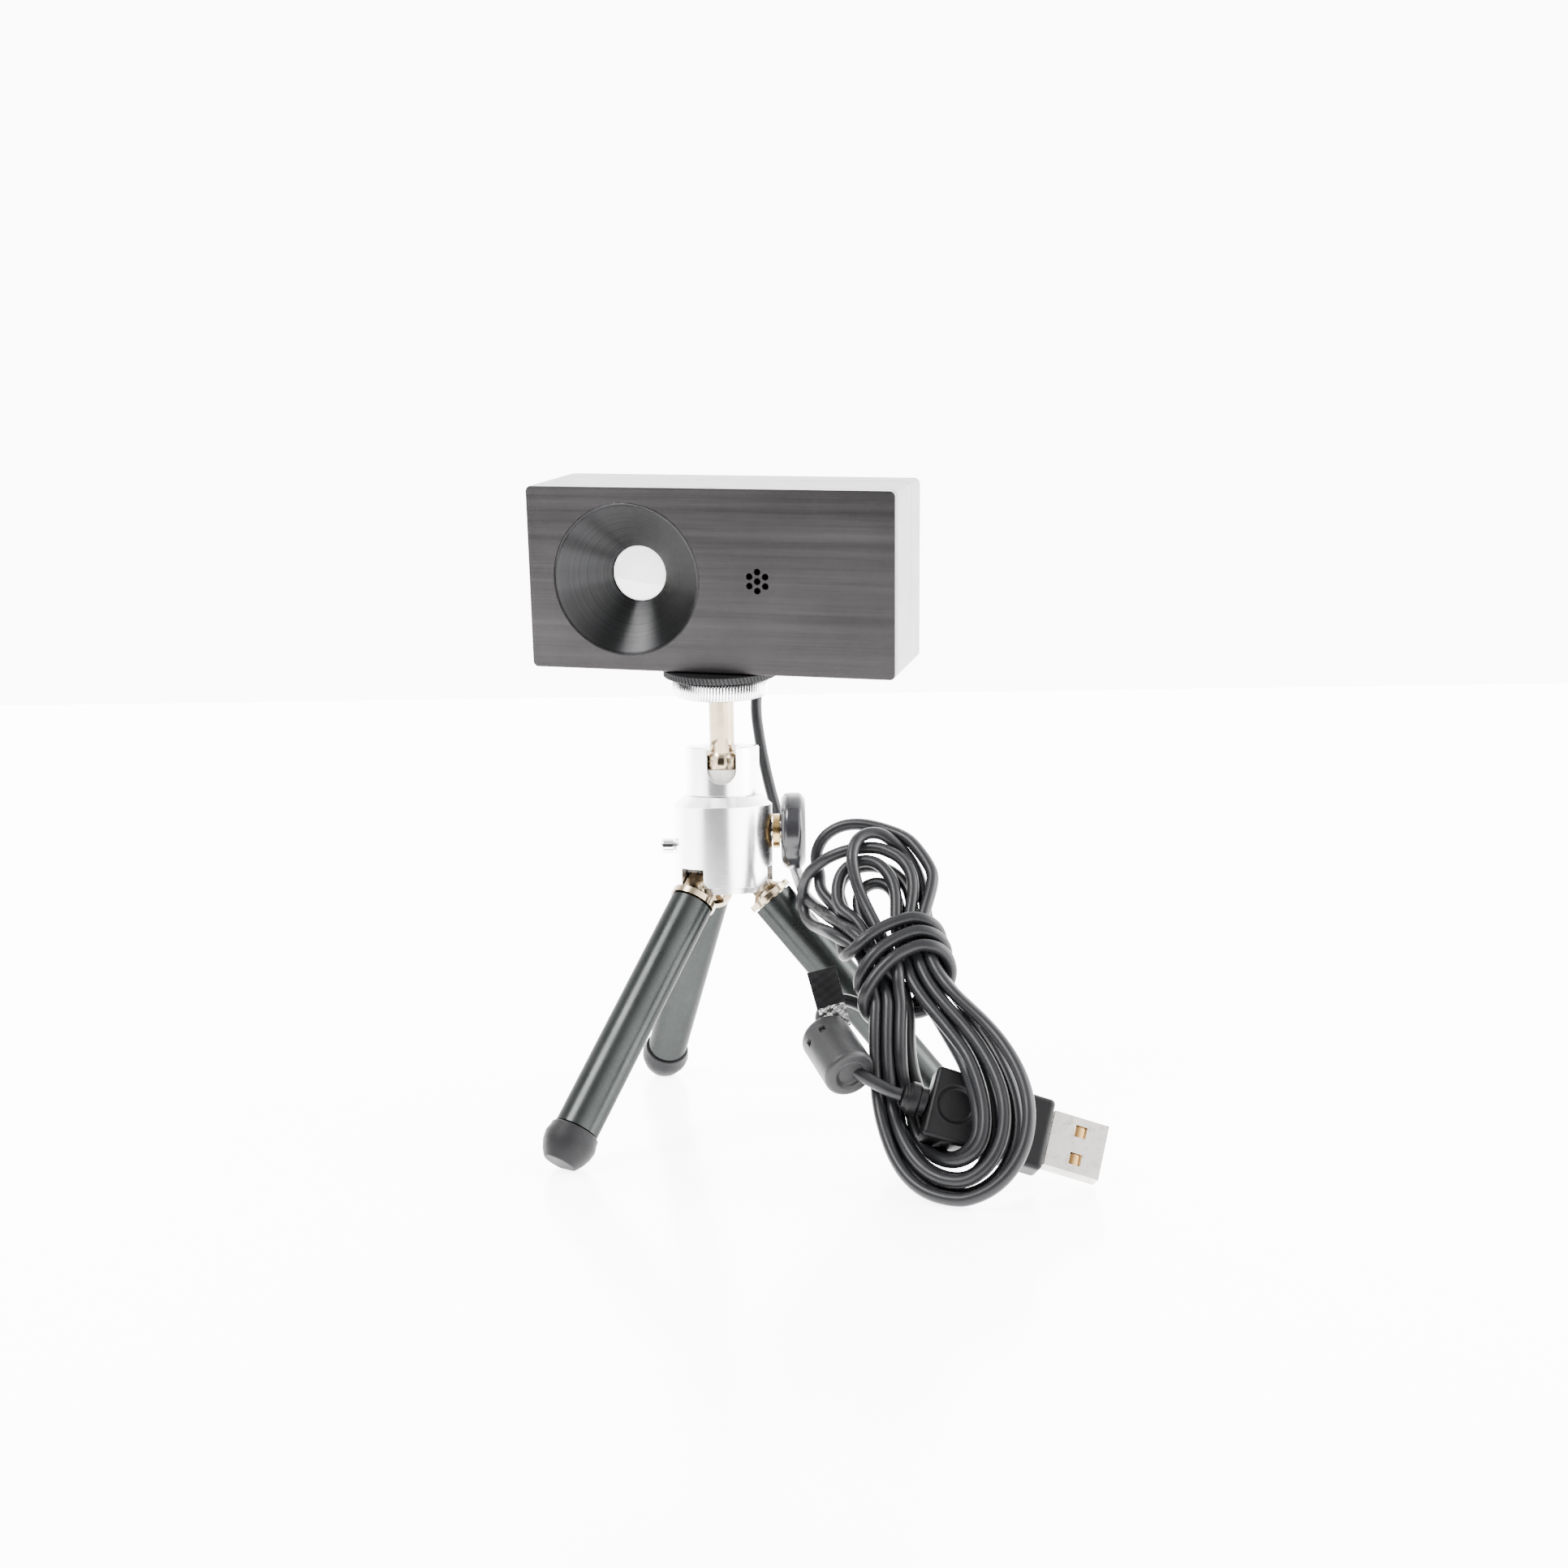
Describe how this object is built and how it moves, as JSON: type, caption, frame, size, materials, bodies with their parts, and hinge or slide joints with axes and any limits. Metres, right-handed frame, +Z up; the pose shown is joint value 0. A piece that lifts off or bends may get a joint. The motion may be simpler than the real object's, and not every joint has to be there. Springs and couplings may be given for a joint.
{
  "type": "webcam on tripod",
  "caption": "A rectangular webcam on a small folding tripod with a ball head, its USB cable wound into a hank and tied round the middle.",
  "frame": {"origin": "On the desk, under the middle of the webcam and tripod together (the cable is not counted).", "axes": "+Z is up. The webcam faces -Y. +X is to the right of someone who looks at the lens."},
  "size_m": [0.1264, 0.1309, 0.1566],
  "materials": {
    "brushed_dark": "linear brushed, dark anodised",
    "turned_dark": "turned with fine grooves, dark anodised",
    "lens_glass": "polished",
    "satin_silver": "satin",
    "chrome": "bright plated",
    "nickel": "satin nickel plated",
    "brass": "machined",
    "steel": "machined, zinc plated",
    "graphite": "satin grey lacquer",
    "rubber": "moulded",
    "cable_jacket": "smooth soft PVC",
    "black_plastic": "moulded",
    "black_gloss": "thin film",
    "board_green": "solder mask",
    "white_plastic": "moulded"
  },
  "bodies": {
    "base": {"clamp_collar": "chrome", "guide_screw": "chrome", "clamp_bush": "brass", "leg_hub": "nickel", "hub_screw": "steel", "hinge_pin_1": "steel", "hinge_pin_2": "steel", "hinge_pin_3": "steel", "cable_lead": "cable_jacket", "cable_hank": "cable_jacket", "cable_wraps": "cable_jacket", "ferrite_bead": "black_plastic", "plug_relief": "black_plastic", "plug_moulding": "black_plastic", "usb_shell": "steel", "usb_tongue": "white_plastic", "cable_tail_upper": "cable_jacket", "cable_tail_lower": "cable_jacket", "flag_label": "black_gloss"},
    "leg_a": {"leg_cap_1": "nickel", "leg_tube_1": "graphite", "rubber_foot_1": "rubber"},
    "leg_b": {"leg_cap_2": "nickel", "leg_tube_2": "graphite", "rubber_foot_2": "rubber"},
    "leg_c": {"leg_cap_3": "nickel", "leg_tube_3": "graphite", "rubber_foot_3": "rubber"},
    "sleeve": {"head_sleeve": "chrome", "ball_seat": "white_plastic", "spring_washer": "steel", "sleeve_plug": "brass"},
    "stud": {"ball_stud": "nickel", "rubber_pad": "rubber"},
    "wheel": {"lock_wheel": "chrome"},
    "webcam": {"front_plate": "brushed_dark", "lens_cone": "turned_dark", "lens_window": "lens_glass", "lens_barrel": "black_plastic", "lens_front": "lens_glass", "lens_rear": "lens_glass", "lens_holder": "black_plastic", "ir_filter": "lens_glass", "image_sensor": "black_plastic", "main_board": "board_green", "board_screw_1": "steel", "board_screw_2": "steel", "mic_gasket": "rubber", "mic_capsule": "steel", "housing_shell": "satin_silver", "rear_cover": "satin_silver", "rear_screw_1": "steel", "rear_screw_2": "steel", "rear_screw_3": "steel", "rear_screw_4": "steel", "tripod_insert": "brass", "cable_gland": "rubber"},
    "knob": {"clamp_knob": "black_plastic", "clamp_screw": "steel"}
  },
  "joints": [
    {"name": "leg_a_fold", "type": "hinge", "parent": "base", "child": "leg_a", "pos_m": [-0.01174, -0.01043, 0.05892], "axis": [0.766, -0.6428, 0], "range_deg": [0, 40.3]},
    {"name": "leg_b_fold", "type": "hinge", "parent": "base", "child": "leg_b", "pos_m": [0.00064, -0.00593, 0.05892], "axis": [0.1736, 0.9848, 0], "range_deg": [0, 40.3]},
    {"name": "leg_c_fold", "type": "hinge", "parent": "base", "child": "leg_c", "pos_m": [-0.00945, 0.00253, 0.05892], "axis": [-0.9397, -0.342, 0], "range_deg": [0, 40.3]},
    {"name": "head_pan", "type": "hinge", "parent": "base", "child": "sleeve", "pos_m": [-0.00685, -0.00461, 0.07012], "axis": [0, 0, 1], "continuous": true, "deforming": ["cable_lead"]},
    {"name": "ball_tilt", "type": "hinge", "parent": "sleeve", "child": "stud", "pos_m": [-0.00685, -0.00461, 0.08662], "axis": [1, 0, 0], "range_deg": [-26, 56], "deforming": ["cable_lead"]},
    {"name": "webcam_turn", "type": "hinge", "parent": "stud", "child": "webcam", "pos_m": [-0.00685, -0.00872, 0.10945], "axis": [0, -0.1771, 0.9842], "continuous": true, "deforming": ["cable_lead"]},
    {"name": "lock_wheel_turn", "type": "hinge", "parent": "stud", "child": "wheel", "pos_m": [-0.00685, -0.00794, 0.10512], "axis": [0, -0.1771, 0.9842], "continuous": true},
    {"name": "clamp_knob_turn", "type": "hinge", "parent": "base", "child": "knob", "pos_m": [0.00685, -0.00461, 0.07012], "axis": [1, 0, 0], "continuous": true}
  ]
}
